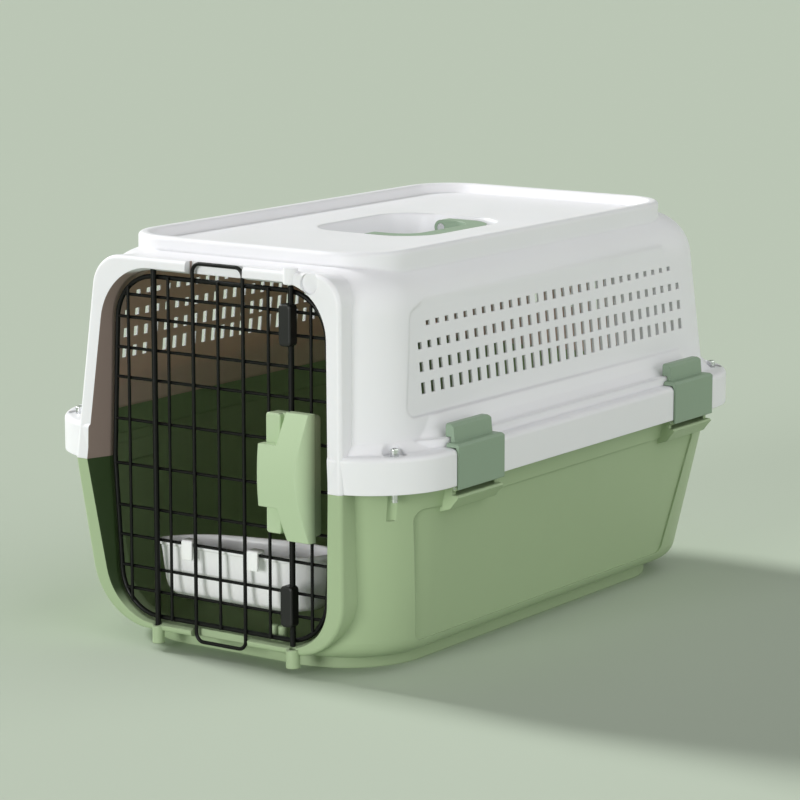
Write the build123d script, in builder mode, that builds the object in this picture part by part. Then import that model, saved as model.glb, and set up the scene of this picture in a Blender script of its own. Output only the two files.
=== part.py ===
from build123d import *
import os
from math import cos, radians, sin, tan

os.makedirs("parts", exist_ok=True)

# A small cat carrier: a green base shell, a white vented top shell, a welded wire door
# with a squeeze latch, a hook-on food bowl, four side clips and a folding carry handle.
# Millimetres, +Z up, door towards -Y, origin on the floor under the middle of the carrier.

# Driving dimensions of the two shells
wall = 2.6
parting_z = 130.4
flange_half_x = 156.3
flange_half_y = 239.3
flange_corner = 64.0
flange_round = 3.5
shoulder_z = 155.0
ledge_z = 161.0
ledge_half_x = 147.0
ledge_half_y = 196.0
ledge_corner = 38.0
flare_steps = ((161.0, 141.4), (166.0, 136.0), (174.5, 132.4))
flare_corner = 40.0
flange_lap = 1.5
roof_z = 272.5
roof_round = 34.0
rim_z = 282.0
rim_half_x = 109.0
rim_half_y = 198.0
rim_corner = 40.0
rim_width = 7.0
rim_round = 3.0
rim_inner_draft = 40.0
tray_z = 275.0
tray_hollow_inset = 8.0
tray_hollow_height = 12.0
foot_z = 11.0
foot_half_x = 107.4
foot_half_y = 201.0
foot_corner = 60.0
foot_overlap = 6.0
base_round = 15.0

# Wall outlines: half width, front reach, rear reach, front corner, rear corner
top_low = (135.9, 239.0, 230.0, 57.0, 45.0)
top_high = (121.4, 226.8, 222.3, 54.0, 45.0)
base_high = (147.6, 237.0, 230.0, 78.0, 68.0)
base_low = (123.5, 221.0, 214.0, 62.0, 60.0)
pocket = (150.2, 233.2, 233.2, 52.0, 52.0)
base_rim = (146.5, 229.0, 229.0, 66.0, 66.0)
base_rim_z = 152.1
wall_foot_low = (142.5, 238.8, 233.5, 62.0, 50.0)
wall_foot_high = (132.0, 235.4, 227.5, 56.0, 45.0)
wall_foot_z = 162.5

# Recessed side panels: depth, then the outline from the front edge, as y and z
panel_depth = 1.3
top_panel = (
    (-190.0, 175.0),
    (-177.5, 243.0),
    (-150.0, 254.0),
    (150.0, 254.0),
    (152.0, 243.0),
    (152.0, 175.0),
)
base_panel = ((-171.0, 21.0), (-192.0, 115.5), (166.0, 115.5), (150.0, 21.0))
panel_corner = 7.0

# The door opening, measured where the door hangs
opening_y = -222.0
opening_half_parting = 96.0
opening_half_top = 90.5
opening_half_bottom = 89.3
opening_top = 262.5
opening_bottom = 18.8
opening_corner = 36.0
opening_depth = 34.0
reveal_angle = 19.0
reveal_depth = 30.0
lean_top = 5.0
lean_base = 7.0
front_rim_half_parting = 112.6
front_rim_half_top = 103.0
front_rim_half_bottom = 103.0
front_rim_height = 9.1
front_rim_corner_top = 22.0
front_rim_corner_bottom = 45.0
front_rim_round = 3.0
front_rim_depth = 21.0
sill_depth = 6.0
rim_room_y = -225.0
rim_room_depth = 46.0
rim_room_height = 30.0

# The side vents: four rows of upright slots, tallest in the middle of each row
vent_pitch = 11.2
vent_width = 4.4
vent_rows = ((192.5, 31, 7.5, 11.3), (206.5, 31, 6.4, 9.8), (220.5, 31, 4.6, 8.0), (234.5, 29, 3.1, 6.5))
side_vent_columns = 31
rear_vent_columns = 11
side_cut_x = 140.0
rear_cut_y = 200.0
rear_cut_depth = 60.0

# The wire door
frame_wire = 3.3
grid_wire = 2.2
loop_wire = 2.6
frame_y = -220.4
horizontal_y = -220.9
vertical_y = -222.9
rod_y = -224.6
hinge_y = -224.05
rod_radius = 2.0
hinge_x = -53.6
latch_rod_x = 62.1
frame_half_parting = 92.5
frame_half_top = 87.0
frame_half_bottom = 85.8
frame_top = 258.0
frame_bottom = 22.2
frame_corner = 32.0
vertical_wires = (-77.1, -42.2, 0.0, 42.2, 77.1)
door_middle_z = 142.0
horizontal_steps = (15.6, 44.8, 65.4, 86.7, 102.3)
loop_half_x = 21.1
loop_top = 270.0
loop_bottom = 10.4
loop_corner = 6.0
loop_room_gap = 3.0
loop_room_y = -228.0
loop_room_depth = 17.0
loop_room_bottom = 2.0
rod_top = 268.0
rod_bottom = 8.0
rod_hole_radius = 2.35
rod_hole_gap = 0.6
hinge_peg_radius = 4.2
latch_peg_radius = 4.8
door_stops = (39.0, 45.4)
stop_y = -214.0
stop_radius = 3.0
stop_top = 29.0
rod_boss_radius = 5.0
pocket_x = 79.0
pocket_z = 265.0
pocket_radius = 7.0
pocket_floor_y = -225.4

# The squeeze latch
latch_travel = 5.0
latch_left = 47.0
latch_right = 85.0
latch_bottom = 97.0
latch_top = 178.0
latch_back_y = -222.05
latch_plate_y = -229.0
strip_right = 59.0
strip_front_y = -233.0
slider_back_y = -229.3
slider_front_y = -241.5
slider_end_y = -235.5
slider_round_x = 70.0
slider_bottom = 94.0
slider_top = 180.0
wing_bottom = 116.0
wing_top = 158.0
peg_radius = 1.2
peg_offset_z = 17.0

# The rod guides
guide_left = 55.0
guide_right = 65.1
guide_height = 28.0
guide_front_y = -229.6
guide_corner = 3.0
guide_round = 1.5
guide_upper_z = 236.0
guide_lower_z = 47.0

# The food bowl
bowl_left = -60.0
bowl_right = 52.0
bowl_back_inset = 8.0
bowl_front_y = -217.4
bowl_back_y = -187.0
bowl_bottom = 32.0
bowl_top = 76.0
bowl_wall = 2.0
bowl_lip = 1.4
bowl_draft = 4.0
hook_x = 28.0
hook_width = 9.0
hook_drop = 10.5

# The side clips
clip_y = 141.7
clip_width = 54.6
clip_hook_width = 45.0
clip_outer_x = 157.6
clip_thick = 2.7
clip_foot_thick = 1.5
clip_pivot_x = 153.9
clip_pivot_z = 128.2
clip_knuckle = 1.9
clip_ear = 4.0
clip_pin = 1.1
clip_foot_z = 127.6
clip_shoulder_round = 2.0
bracket_top = 123.4
bracket_outer_x = 157.0
bracket_low_x = 150.6
bracket_low_z = 114.0
bracket_root_x = 143.0
bracket_root_low_x = 139.0
bracket_bevel = 1.4
ear_root_x = 144.0
ear_shy_x = 1.7
ear_shy_z = 0.9
notch_x = 152.1
notch_depth = 20.0

# The corner bolts
bolt_x = 133.7
bolt_y = 209.0
bolt_radius = 2.2
bolt_head = 3.0
bolt_head_height = 5.4
bolt_tip_z = 123.5
bolt_hole_radius = 2.3
seat_radius = 7.8
seat_depth = 1.0
relief_radius = 4.6
relief_height = 22.0
relief_lean_x = 0.158
relief_lean_y = 0.123
lug_radius = 6.2
lug_z = 146.0
lug_web_x = 4.0
lug_web_y = 3.4
nut_radius = 4.2
nut_height = 4.0
cross_long = 3.6
cross_wide = 0.9
cross_depth = 1.6

# The carry handle in its well
well_half_x = 50.0
well_half_y = 62.0
well_corner = 32.0
well_floor = 247.0
well_draft = 12.0
well_floor_round = 8.0
pivot_boss_y = 58.0
pivot_boss_radius = 6.0
pivot_boss_length = 10.5
handle_pivot_z = 268.2
handle_eye = 5.6
handle_out_x = 45.5
handle_grip_width = 15.0
handle_outer_y = 53.0
handle_inner_y = 41.5
handle_low_z = 266.0
handle_high_z = 273.8
handle_pin = 3.0
handle_pin_end = 67.0
handle_outer_round = 28.0
handle_inner_round = 18.0

clearance = 0.3
corner_signs = ((-1, -1), (1, -1), (-1, 1), (1, 1))


def plan(half_x, front, rear, front_corner, rear_corner):
    """Outline of a shell seen from above, with its own corners at the front and the rear."""
    with BuildSketch(mode=Mode.PRIVATE) as outline:
        with Locations((0, (rear - front) / 2)):
            Rectangle(2 * half_x, front + rear)
        fillet(outline.vertices().group_by(Axis.Y)[0], front_corner)
        fillet(outline.vertices().group_by(Axis.Y)[-1], rear_corner)
    return outline.sketch


def inset(outline, amount):
    """The same plan, moved inwards by a wall thickness."""
    half_x, front, rear, front_corner, rear_corner = outline
    return (half_x - amount, front - amount, rear - amount, front_corner - amount, rear_corner - amount)


def upright(y):
    """Plane facing the door side, whose sketch is measured in x and z."""
    return Plane(origin=(0, y, 0), x_dir=(1, 0, 0), z_dir=(0, -1, 0))


def door_shape(half_bottom, bottom, half_middle, half_top, top, corner):
    """Six-sided door outline with four big rounded corners."""
    with BuildSketch(mode=Mode.PRIVATE) as outline:
        with BuildLine():
            Polyline(
                (-half_bottom, bottom),
                (half_bottom, bottom),
                (half_middle, parting_z),
                (half_top, top),
                (-half_top, top),
                (-half_middle, parting_z),
                close=True,
            )
        make_face()
        ends = outline.vertices().filter_by(lambda v: abs(v.Y - parting_z) > 1)
        fillet(ends, corner)
    return outline.sketch


def vent_slots(columns):
    """Rows of upright slots, tallest in the middle of each row; columns limits each row."""
    slots = []
    for row_z, row_count, end_height, middle_height in vent_rows:
        count = min(row_count, columns)
        for column in range(count):
            place = (column - (count - 1) / 2) * vent_pitch
            share = 1 - abs(place) / (vent_pitch * row_count / 2)
            height = end_height + (middle_height - end_height) * share
            slots.append(Pos(place, row_z) * Rectangle(vent_width, height))
    return slots


side_slots = vent_slots(side_vent_columns)
rear_slots = vent_slots(rear_vent_columns)

opening = door_shape(
    opening_half_bottom, opening_bottom, opening_half_parting, opening_half_top, opening_top, opening_corner
)


def lean_plane(angle):
    """Front plane of a shell, leaning back by an angle from the parting line."""
    tilt = radians(angle)
    return Plane(origin=(0, -flange_half_y, parting_z), x_dir=(1, 0, 0), z_dir=(0, -cos(tilt), sin(tilt)))


def front_rim(lean, half_end, height, corner):
    """Band round the opening on the leaning front of a shell, from the parting line to its far end."""
    with BuildPart() as rim:
        with BuildSketch(lean_plane(lean)) as band:
            with BuildLine():
                Polyline(
                    (-front_rim_half_parting, 0),
                    (front_rim_half_parting, 0),
                    (half_end, height),
                    (-half_end, height),
                    close=True,
                )
            make_face()
            fillet(band.vertices().filter_by(lambda v: abs(v.Y) > 1), corner)
        extrude(amount=-front_rim_depth)
        front_edges = rim.faces().sort_by(Axis.Y)[0].edges()
        fillet(front_edges.filter_by(lambda e: abs(e.center().Z - parting_z) > 1), front_rim_round)
    return rim.part


top_rim_height = (opening_top + front_rim_height - parting_z) / cos(radians(lean_top))
base_rim_height = (parting_z - opening_bottom + sill_depth) / cos(radians(lean_base))
top_front_rim = front_rim(lean_top, front_rim_half_top, top_rim_height, front_rim_corner_top)
base_front_rim = front_rim(-lean_base, front_rim_half_bottom, -base_rim_height, front_rim_corner_bottom)


def side_panels(outline, low, low_z, high, high_z):
    """The thin skin of both side walls that is cut away to leave a recessed panel."""
    with BuildPart() as skin:
        with BuildSketch(Plane.YZ.offset(-flange_half_x)) as window:
            with BuildLine():
                Polyline(*outline, close=True)
            make_face()
            fillet(window.vertices(), panel_corner)
        extrude(amount=2 * flange_half_x)
        with BuildSketch(Plane.XY.offset(low_z)):
            add(plan(*inset(low, panel_depth)))
        with BuildSketch(Plane.XY.offset(high_z)):
            add(plan(*inset(high, panel_depth)))
        loft(ruled=True, mode=Mode.SUBTRACT)
    return skin.part


# Hollow of the base shell
with BuildPart() as base_hollow:
    with BuildSketch(Plane.XY.offset(foot_z + wall)):
        add(plan(*inset(base_low, wall)))
    with BuildSketch(Plane.XY.offset(parting_z)):
        add(plan(*inset(base_high, wall)))
    loft(ruled=True)
    fillet(base_hollow.faces().sort_by(Axis.Z)[0].edges(), base_round - wall)

# Base shell
with BuildPart() as base_shell:
    with BuildSketch(Plane.XY.offset(foot_z)):
        add(plan(*base_low))
    with BuildSketch(Plane.XY.offset(parting_z)):
        add(plan(*base_high))
    loft(ruled=True)
    fillet(base_shell.faces().sort_by(Axis.Z)[0].edges(), base_round)
    with BuildSketch(Plane.XY):
        RectangleRounded(2 * foot_half_x, 2 * foot_half_y, foot_corner)
    extrude(amount=foot_z + foot_overlap)
    with BuildSketch(Plane.XY):
        RectangleRounded(2 * (foot_half_x - wall), 2 * (foot_half_y - wall), foot_corner - wall)
    extrude(amount=foot_z, mode=Mode.SUBTRACT)
    with BuildSketch(Plane.XY.offset(parting_z)):
        add(plan(*base_rim))
    extrude(amount=base_rim_z - parting_z)
    add(base_hollow.part, mode=Mode.SUBTRACT)
    with BuildSketch(Plane.XY.offset(parting_z)):
        add(plan(*inset(base_rim, wall)))
    extrude(amount=base_rim_z - parting_z, mode=Mode.SUBTRACT)
    # Lugs that take the corner bolts
    for side_x, side_y in corner_signs:
        with BuildSketch(Plane.XY.offset(lug_z)):
            with Locations((side_x * bolt_x, side_y * bolt_y)):
                Circle(lug_radius)
            with Locations((side_x * (bolt_x - lug_web_x), side_y * (bolt_y - lug_web_y))):
                Circle(lug_radius)
        extrude(amount=base_rim_z - lug_z)
    # Recessed side panels
    add(side_panels(base_panel, base_low, foot_z, base_high, parting_z), mode=Mode.SUBTRACT)
    # Front rim, and above it the room for the front rim of the top shell
    add(base_front_rim)
    with BuildSketch(Plane.XY.offset(parting_z)):
        with Locations((0, rim_room_y)):
            Rectangle(2 * front_rim_half_parting + 2, rim_room_depth)
    extrude(amount=rim_room_height, mode=Mode.SUBTRACT)
    # Hinge brackets under the clips, with two ears for each pin
    for side_x, side_y in corner_signs:
        with BuildSketch(Plane.XZ.offset(-side_y * clip_y)):
            with BuildLine():
                Polyline(
                    (side_x * bracket_root_x, bracket_top),
                    (side_x * (bracket_outer_x - bracket_bevel), bracket_top),
                    (side_x * bracket_outer_x, bracket_top - bracket_bevel),
                    (side_x * bracket_low_x, bracket_low_z),
                    (side_x * bracket_root_low_x, bracket_low_z - 4),
                    close=True,
                )
            make_face()
        extrude(amount=clip_width / 2, both=True)
        for end in (-1, 1):
            with BuildSketch(Plane.XZ.offset(-side_y * clip_y - end * (clip_width / 2 - clip_ear))):
                with BuildLine():
                    Polyline(
                        (side_x * ear_root_x, bracket_top - 1),
                        (side_x * (clip_pivot_x - ear_shy_x), bracket_top - 1),
                        (side_x * (clip_pivot_x - ear_shy_x), clip_pivot_z - ear_shy_z),
                        (side_x * clip_pivot_x, clip_pivot_z),
                        (side_x * clip_pivot_x, clip_pivot_z + clip_knuckle),
                        (side_x * ear_root_x, clip_pivot_z + clip_knuckle),
                        close=True,
                    )
                make_face()
                with Locations((side_x * clip_pivot_x, clip_pivot_z)):
                    Circle(clip_knuckle)
            extrude(amount=-end * clip_ear)
        with BuildSketch(Plane.XZ.offset(-side_y * clip_y)):
            with Locations((side_x * clip_pivot_x, clip_pivot_z)):
                Circle(clip_pin)
        extrude(amount=clip_width / 2, both=True, mode=Mode.SUBTRACT)
    # Relief channels below the corner bolts
    for side_x, side_y in corner_signs:
        channel = Plane(
            origin=(side_x * bolt_x, side_y * bolt_y, parting_z),
            z_dir=(-side_x * relief_lean_x, -side_y * relief_lean_y, -1),
        )
        with BuildSketch(channel):
            Circle(relief_radius)
        extrude(amount=relief_height, mode=Mode.SUBTRACT)
    # Two stops for the door on the sill
    with BuildSketch(Plane.XY.offset(opening_bottom - 4)):
        with Locations(*[(stop_x, stop_y) for stop_x in door_stops]):
            Circle(stop_radius)
    extrude(amount=stop_top - opening_bottom + 4)
    # Pegs under the sill that hold the feet of both rods
    with BuildSketch(Plane.XY.offset(rod_bottom - 3)):
        with Locations((hinge_x, hinge_y)):
            Circle(hinge_peg_radius)
        with Locations((latch_rod_x, rod_y)):
            Circle(latch_peg_radius)
    extrude(amount=opening_bottom - rod_bottom + 2)
    # The opening, its drafted reveal and the room for the stop loop
    with BuildSketch(upright(opening_y)):
        add(opening)
    extrude(amount=-reveal_depth, mode=Mode.SUBTRACT)
    with BuildSketch(upright(opening_y)):
        add(opening)
    extrude(amount=reveal_depth, taper=-reveal_angle, mode=Mode.SUBTRACT)
    with BuildSketch(Plane.XY.offset(loop_room_bottom)):
        with Locations((0, loop_room_y)):
            Rectangle(2 * (loop_half_x + loop_room_gap), loop_room_depth)
    extrude(amount=opening_bottom, mode=Mode.SUBTRACT)
    with BuildSketch(Plane.XY.offset(rod_bottom - rod_hole_gap)):
        with Locations((hinge_x, hinge_y), (latch_rod_x, rod_y)):
            Circle(rod_hole_radius)
    extrude(amount=20, mode=Mode.SUBTRACT)
    with BuildSketch(Plane.XY.offset(lug_z - 1)):
        with Locations(*[(side_x * bolt_x, side_y * bolt_y) for side_x, side_y in corner_signs]):
            Circle(bolt_hole_radius)
    extrude(amount=10, mode=Mode.SUBTRACT)
base_shell.part.label = "base_shell"
export_step(base_shell.part, "parts/base_shell.step")

# Hollow of the top shell
with BuildPart() as top_hollow:
    with BuildSketch(Plane.XY.offset(parting_z)):
        add(plan(*inset(top_low, wall)))
    with BuildSketch(Plane.XY.offset(roof_z - wall)):
        add(plan(*inset(top_high, wall)))
    loft(ruled=True)
    fillet(top_hollow.faces().sort_by(Axis.Z)[-1].edges(), roof_round - wall)

# Finger well for the carry handle, as a tapered pan
with BuildPart() as well_pan:
    with BuildSketch(Plane.XY.offset(tray_z - 1)):
        RectangleRounded(2 * (well_half_x + wall), 2 * (well_half_y + wall), well_corner + wall)
    extrude(amount=-(tray_z - 1 - well_floor + wall), taper=well_draft)
    for side in (-1, 1):
        with BuildSketch(Plane.XZ.offset(-side * pivot_boss_y)):
            with Locations((0, handle_pivot_z)):
                Circle(pivot_boss_radius)
        extrude(amount=-side * pivot_boss_length)
with BuildPart() as well_hollow:
    with BuildSketch(Plane.XY.offset(rim_z)):
        RectangleRounded(
            2 * (well_half_x + (rim_z - tray_z) * tan(radians(well_draft))),
            2 * (well_half_y + (rim_z - tray_z) * tan(radians(well_draft))),
            well_corner,
        )
    extrude(amount=-(rim_z - well_floor), taper=well_draft)
    fillet(well_hollow.faces().sort_by(Axis.Z)[0].edges(), well_floor_round)

# Flange of the top shell: a skirt with a rounded shoulder that hides the rim of the base
with BuildPart() as top_flange:
    with BuildSketch(Plane.XY.offset(parting_z)):
        RectangleRounded(2 * flange_half_x, 2 * flange_half_y, flange_corner)
    extrude(amount=shoulder_z - parting_z)
    fillet(top_flange.faces().sort_by(Axis.Z)[-1].edges(), flange_round)
    with BuildSketch(Plane.XY.offset(parting_z)):
        add(plan(*pocket))
    extrude(amount=shoulder_z - wall - parting_z, mode=Mode.SUBTRACT)
    with BuildSketch(Plane.XY.offset(parting_z)):
        add(plan(*inset(top_low, wall + flange_lap)))
    extrude(amount=shoulder_z - parting_z, mode=Mode.SUBTRACT)
    # Notches for the clips
    for side_x, side_y in corner_signs:
        with BuildSketch(Plane.XY.offset(parting_z)):
            with Locations((side_x * (notch_x + notch_depth / 2), side_y * clip_y)):
                Rectangle(notch_depth, clip_width + 4 * clearance)
        extrude(amount=shoulder_z, mode=Mode.SUBTRACT)

# Top shell
with BuildPart() as top_shell:
    with BuildSketch(Plane.XY.offset(parting_z)):
        add(plan(*top_low))
    with BuildSketch(Plane.XY.offset(roof_z)):
        add(plan(*top_high))
    loft(ruled=True)
    fillet(top_shell.faces().sort_by(Axis.Z)[-1].edges(), roof_round)
    for (low_z, low_x), (high_z, high_x) in zip(flare_steps, flare_steps[1:]):
        with BuildSketch(Plane.XY.offset(low_z)):
            RectangleRounded(2 * low_x, 2 * ledge_half_y, flare_corner)
        with BuildSketch(Plane.XY.offset(high_z)):
            RectangleRounded(2 * high_x, 2 * ledge_half_y, flare_corner)
        loft(ruled=True)
    with BuildSketch(Plane.XY.offset(shoulder_z - 1)):
        RectangleRounded(2 * ledge_half_x, 2 * ledge_half_y, ledge_corner)
    extrude(amount=ledge_z - shoulder_z + 1)
    # Sloping foot of the wall on the shoulder
    with BuildSketch(Plane.XY.offset(shoulder_z - 1)):
        add(plan(*wall_foot_low))
    with BuildSketch(Plane.XY.offset(wall_foot_z)):
        add(plan(*wall_foot_high))
    loft(ruled=True)
    # Recessed side panels
    add(side_panels(top_panel, top_low, parting_z, top_high, roof_z), mode=Mode.SUBTRACT)
    # Raised rim round the tray in the roof
    with BuildSketch(Plane.XY.offset(roof_z - roof_round / 2)):
        RectangleRounded(2 * rim_half_x, 2 * rim_half_y, rim_corner)
    extrude(amount=rim_z - roof_z + roof_round / 2)
    with BuildSketch(Plane.XY.offset(rim_z)):
        RectangleRounded(2 * (rim_half_x - rim_width), 2 * (rim_half_y - rim_width), rim_corner - rim_width)
    extrude(amount=tray_z - rim_z, taper=rim_inner_draft, mode=Mode.SUBTRACT)
    rim_face = top_shell.faces().sort_by(Axis.Z)[-1]
    fillet(rim_face.edges(), rim_round)
    add(top_hollow.part, mode=Mode.SUBTRACT)
    with BuildSketch(Plane.XY.offset(tray_z - wall)):
        RectangleRounded(
            2 * (rim_half_x - wall - tray_hollow_inset),
            2 * (rim_half_y - wall - tray_hollow_inset),
            rim_corner - wall,
        )
    extrude(amount=-tray_hollow_height, mode=Mode.SUBTRACT)
    add(top_flange.part)
    with BuildSketch(Plane.XY.offset(parting_z)):
        add(plan(*pocket))
    extrude(amount=shoulder_z - wall - parting_z, mode=Mode.SUBTRACT)
    add(top_front_rim)
    with BuildSketch(Plane.XY.offset(parting_z)):
        Rectangle(2 * flange_half_x, 2 * flange_half_y)
    extrude(amount=-wall, mode=Mode.SUBTRACT)
    add(well_pan.part)
    add(well_hollow.part, mode=Mode.SUBTRACT)
    with BuildSketch(upright(opening_y)):
        add(opening)
    extrude(amount=-opening_depth, mode=Mode.SUBTRACT)
    with BuildSketch(upright(opening_y)):
        add(opening)
    extrude(amount=reveal_depth, taper=-reveal_angle, mode=Mode.SUBTRACT)
    # Room for the stop loop of the door
    with BuildSketch(Plane.XY.offset(opening_top - 2)):
        with Locations((0, loop_room_y)):
            Rectangle(2 * (loop_half_x + loop_room_gap), loop_room_depth)
    extrude(amount=20, mode=Mode.SUBTRACT)
    # Boss over the latch rod, holes for both rods and a finger pocket beside the boss
    with BuildSketch(upright(opening_y - 20)):
        with Locations((pocket_x, pocket_z)):
            Circle(pocket_radius)
    extrude(amount=opening_y - 20 - pocket_floor_y, mode=Mode.SUBTRACT)
    with BuildSketch(Plane.XY.offset(opening_top + 0.6)):
        with Locations((latch_rod_x, rod_y)):
            Circle(rod_boss_radius)
    extrude(amount=rod_top + 5 - opening_top)
    with BuildSketch(Plane.XY.offset(opening_top - 1)):
        with Locations((hinge_x, hinge_y), (latch_rod_x, rod_y)):
            Circle(rod_hole_radius)
    extrude(amount=rod_top + 1.6 - opening_top, mode=Mode.SUBTRACT)
    # Seats and holes of the corner bolts
    with BuildSketch(Plane.XY.offset(shoulder_z - seat_depth)):
        with Locations(*[(side_x * bolt_x, side_y * bolt_y) for side_x, side_y in corner_signs]):
            Circle(seat_radius)
    extrude(amount=2 * seat_radius, mode=Mode.SUBTRACT)
    with BuildSketch(Plane.XY.offset(shoulder_z)):
        with Locations(*[(side_x * bolt_x, side_y * bolt_y) for side_x, side_y in corner_signs]):
            Circle(bolt_hole_radius)
    extrude(amount=-2 * wall, mode=Mode.SUBTRACT)
    # Pivot holes of the carry handle
    with BuildSketch(Plane.XZ.offset(handle_pin_end)):
        with Locations((0, handle_pivot_z)):
            Circle(handle_pin + 0.05)
    extrude(amount=-2 * handle_pin_end, mode=Mode.SUBTRACT)
    # Vents in both sides and in the rear
    with BuildSketch(Plane.YZ.offset(-side_cut_x)):
        add(side_slots)
    extrude(amount=2 * side_cut_x, mode=Mode.SUBTRACT)
    with BuildSketch(Plane.XZ.offset(-rear_cut_y)):
        add(rear_slots)
    extrude(amount=-rear_cut_depth, mode=Mode.SUBTRACT)
top_shell.part.label = "top_shell"
export_step(top_shell.part, "parts/top_shell.step")


def frame_half(z):
    """Half width of the wire frame at a height, without its rounded corners."""
    if z > parting_z:
        share = (z - parting_z) / (frame_top - parting_z)
        return frame_half_parting + (frame_half_top - frame_half_parting) * share
    share = (parting_z - z) / (parting_z - frame_bottom)
    return frame_half_parting + (frame_half_bottom - frame_half_parting) * share


def corner_drop(half, reach):
    """How far a rounded frame corner falls short of its sharp corner at a given reach."""
    past = reach - (half - frame_corner)
    return frame_corner - (frame_corner**2 - past**2) ** 0.5 if past > 0 else 0


# Wire door: a bent frame, with the welded grid and the long stop loop in front of it
with BuildPart() as door_grille:
    with BuildLine():
        FilletPolyline(
            (0, frame_y, frame_bottom),
            (frame_half_bottom, frame_y, frame_bottom),
            (frame_half_parting, frame_y, parting_z),
            (frame_half_top, frame_y, frame_top),
            (0, frame_y, frame_top),
            radius=[frame_corner, 2 * frame_corner, frame_corner],
        )
    with BuildSketch(Plane(origin=(0, frame_y, frame_bottom), z_dir=(1, 0, 0))):
        Circle(frame_wire / 2)
    sweep()
    # Right half of the stop loop, whose ends lap the shells above and below the opening
    with BuildLine():
        FilletPolyline(
            (0, vertical_y, loop_bottom),
            (loop_half_x, vertical_y, loop_bottom),
            (loop_half_x, vertical_y, loop_top),
            (0, vertical_y, loop_top),
            radius=loop_corner,
        )
    with BuildSketch(Plane(origin=(0, vertical_y, loop_bottom), z_dir=(1, 0, 0))):
        Circle(loop_wire / 2)
    sweep()
    mirror(about=Plane.YZ)
    # Upright wires
    for wire_x in vertical_wires:
        upper = frame_top - corner_drop(frame_half_top, abs(wire_x))
        lower = frame_bottom + corner_drop(frame_half_bottom, abs(wire_x))
        with BuildSketch(Plane.XY.offset(lower - 0.8)):
            with Locations((wire_x, vertical_y)):
                Circle(grid_wire / 2)
        extrude(amount=upper - lower + 1.6)
    # Level wires
    for step in horizontal_steps:
        for wire_z in (door_middle_z - step, door_middle_z + step):
            drop = max(wire_z - (frame_top - frame_corner), frame_bottom + frame_corner - wire_z, 0)
            short = frame_corner - (frame_corner**2 - drop**2) ** 0.5
            half = frame_half(wire_z) - short
            with BuildSketch(Plane.YZ.offset(-half)):
                with Locations((horizontal_y, wire_z)):
                    Circle(grid_wire / 2)
            extrude(amount=2 * half)
door_grille.part.label = "door_grille"
export_step(door_grille.part, "parts/door_grille.step")

# Hinge rod: a thicker upright wire whose ends turn in the shells
with BuildPart() as hinge_rod:
    with BuildSketch(Plane.XY.offset(rod_bottom)):
        with Locations((hinge_x, hinge_y)):
            Circle(rod_radius)
    extrude(amount=rod_top - rod_bottom)
    chamfer(hinge_rod.edges().filter_by(GeomType.CIRCLE), 0.5)
hinge_rod.part.label = "hinge_rod"
export_step(hinge_rod.part, "parts/hinge_rod.step")

# Latch rods: straight rods with a peg that runs in the slider's sloping slots
latch_middle = (latch_bottom + latch_top) / 2
with BuildPart() as upper_latch_rod:
    rod_foot = latch_middle + peg_offset_z - 3
    with BuildSketch(Plane.XY.offset(rod_foot)):
        with Locations((latch_rod_x, rod_y)):
            Circle(rod_radius)
    extrude(amount=opening_top - 0.5 - rod_foot)
    chamfer(upper_latch_rod.edges().filter_by(GeomType.CIRCLE), 0.5)
    with BuildSketch(upright(rod_y)):
        with Locations((latch_rod_x, latch_middle + peg_offset_z)):
            Circle(peg_radius)
    extrude(amount=rod_y - slider_back_y + 2.0)
upper_latch_rod.part.label = "upper_latch_rod"
export_step(upper_latch_rod.part, "parts/upper_latch_rod.step")
with BuildPart() as lower_latch_rod:
    rod_head = latch_middle - peg_offset_z + 3
    with BuildSketch(Plane.XY.offset(opening_bottom + 0.5)):
        with Locations((latch_rod_x, rod_y)):
            Circle(rod_radius)
    extrude(amount=rod_head - opening_bottom - 0.5)
    chamfer(lower_latch_rod.edges().filter_by(GeomType.CIRCLE), 0.5)
    with BuildSketch(upright(rod_y)):
        with Locations((latch_rod_x, latch_middle - peg_offset_z)):
            Circle(peg_radius)
    extrude(amount=rod_y - slider_back_y + 2.0)
lower_latch_rod.part.label = "lower_latch_rod"
export_step(lower_latch_rod.part, "parts/lower_latch_rod.step")

# Latch body: a flat case on the grille, with a raised strip for the thumb
with BuildPart() as latch_body:
    with BuildSketch(upright(latch_back_y)):
        with Locations(((latch_left + latch_right - 1) / 2, latch_middle)):
            RectangleRounded(latch_right - 1 - latch_left, latch_top - latch_bottom, 3)
    extrude(amount=latch_back_y - latch_plate_y)
    with BuildSketch(upright(latch_plate_y)):
        with Locations(((latch_left + strip_right) / 2, latch_middle)):
            RectangleRounded(strip_right - latch_left, latch_top - latch_bottom, 2)
    extrude(amount=latch_plate_y - strip_front_y)
    strip_front = latch_body.faces().sort_by(Axis.Y)[0]
    fillet(strip_front.edges(), 1.2)
    # Bore for the rods, slots for their pegs and a groove for the grid wire behind
    with BuildSketch(Plane.XY.offset(latch_bottom - 1)):
        with Locations((latch_rod_x, rod_y)):
            Circle(rod_radius + 0.1)
        with Locations((vertical_wires[-1], vertical_y + 1)):
            Rectangle(grid_wire + 0.8, grid_wire + 2.8)
    extrude(amount=latch_top - latch_bottom + 2, mode=Mode.SUBTRACT)
    with BuildSketch(upright(rod_y)):
        for side in (-1, 1):
            slot_z = latch_middle + side * (peg_offset_z + latch_travel / 2)
            with Locations((latch_rod_x, slot_z)):
                Rectangle(2 * peg_radius + 0.6, latch_travel + 2 * peg_radius + 1)
    extrude(amount=rod_y - latch_plate_y + 1, mode=Mode.SUBTRACT)
latch_body.part.label = "latch_body"
export_step(latch_body.part, "parts/latch_body.step")

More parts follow.
